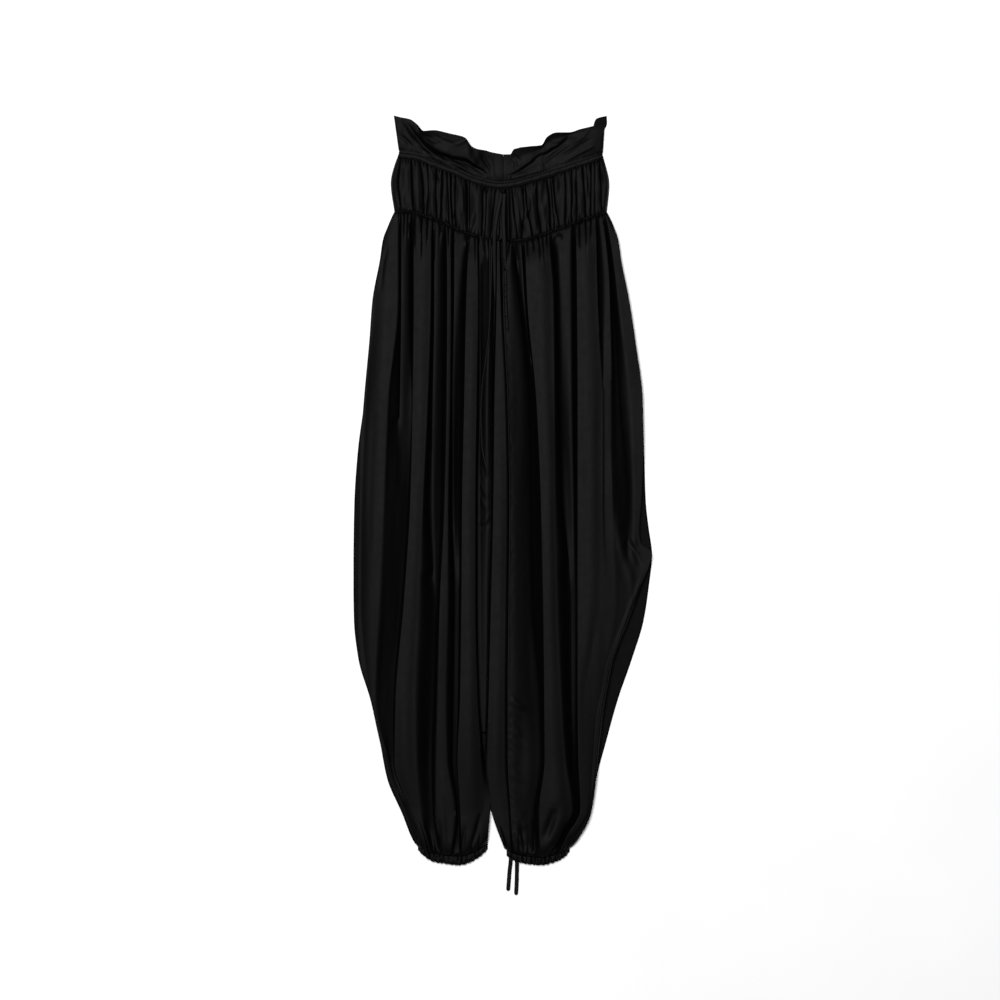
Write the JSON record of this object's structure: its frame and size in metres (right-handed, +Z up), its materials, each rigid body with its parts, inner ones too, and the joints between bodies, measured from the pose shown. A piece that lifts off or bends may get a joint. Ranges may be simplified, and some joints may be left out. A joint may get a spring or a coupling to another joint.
{
  "type": "harem pants",
  "caption": "Full-length harem pants in black satin, lying flat on their back: frilled drawstring waist, gathered yoke, loose pleated legs and elastic cuffs.",
  "frame": {"origin": "on the surface under the garment, below the middle of its outline without the drawstring's free ends", "axes": "+Y from the cuffs to the waist along the legs, +Z up from the surface, +X to the right as seen from above"},
  "size_m": [0.431, 1.1256, 0.0211],
  "materials": {
    "satin": "satin weave with a soft sheen",
    "cord": "rouleau cord of the same satin"
  },
  "bodies": {
    "root": {"casing_back": "satin", "casing_front": "satin", "cuff_back_left": "satin", "cuff_back_right": "satin", "cuff_front_left": "satin", "cuff_front_right": "satin", "drawstring_knot": "cord", "drawstring_tail_left": "cord", "drawstring_tail_right": "cord", "frill_back": "satin", "frill_front_left": "satin", "frill_front_right": "satin", "gore_front_left": "satin", "gore_front_right": "satin", "leg_back_left": "satin", "leg_back_right": "satin", "leg_front_left": "satin", "leg_front_right": "satin", "yoke_back": "satin", "yoke_front_left": "satin", "yoke_front_right": "satin"}
  },
  "joints": []
}
